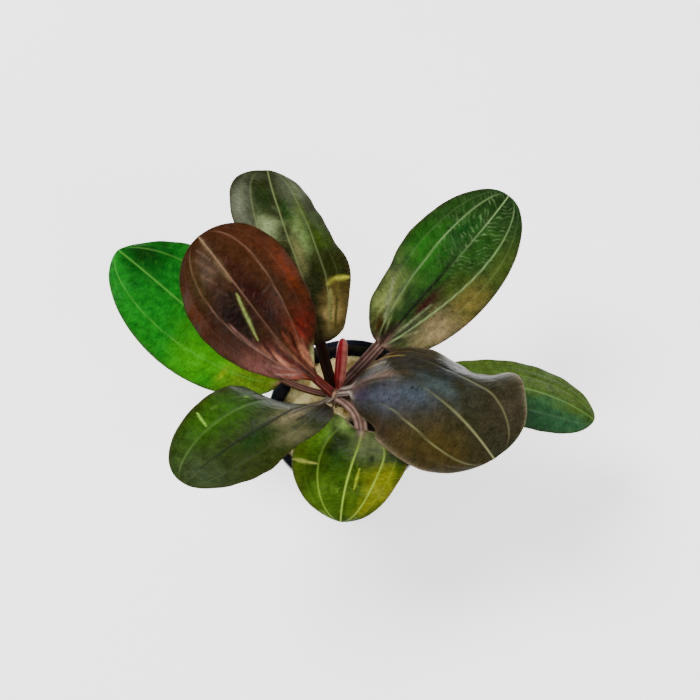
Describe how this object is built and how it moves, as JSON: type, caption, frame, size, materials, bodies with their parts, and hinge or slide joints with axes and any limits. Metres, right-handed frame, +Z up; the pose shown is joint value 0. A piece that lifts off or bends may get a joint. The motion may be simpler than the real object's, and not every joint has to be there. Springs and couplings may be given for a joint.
{
  "type": "potted echinodorus plant",
  "caption": "Young echinodorus with broad oval leaves in olive, red-brown and green, rooted in rockwool in a small slotted net pot that stands on its flat base.",
  "frame": {"origin": "middle of the pot's base, on the surface that it stands on", "axes": "+Z up along the pot's axis, -Y towards the side that the picture is taken from, +X to that view's right"},
  "size_m": [0.1607, 0.1163, 0.1131],
  "materials": {
    "pot_plastic": "satin",
    "rockwool": "matte",
    "rootstock": "satin",
    "leaf_olive": "satin",
    "leaf_red_brown": "satin",
    "leaf_bright_green": "satin",
    "leaf_green": "satin",
    "leaf_dark_brown": "satin",
    "leaf_moss_green": "satin",
    "leaf_dark_green": "satin",
    "leaf_yellow_green": "satin",
    "leaf_crimson": "satin"
  },
  "bodies": {
    "root": {"net_pot": "pot_plastic", "rockwool": "rockwool", "crown": "rootstock", "leaf_a": "leaf_olive", "leaf_b": "leaf_red_brown", "leaf_c": "leaf_bright_green", "leaf_d": "leaf_green", "leaf_e": "leaf_dark_brown", "leaf_f": "leaf_moss_green", "leaf_g": "leaf_dark_green", "leaf_h": "leaf_yellow_green", "young_leaf": "leaf_crimson"}
  },
  "joints": []
}
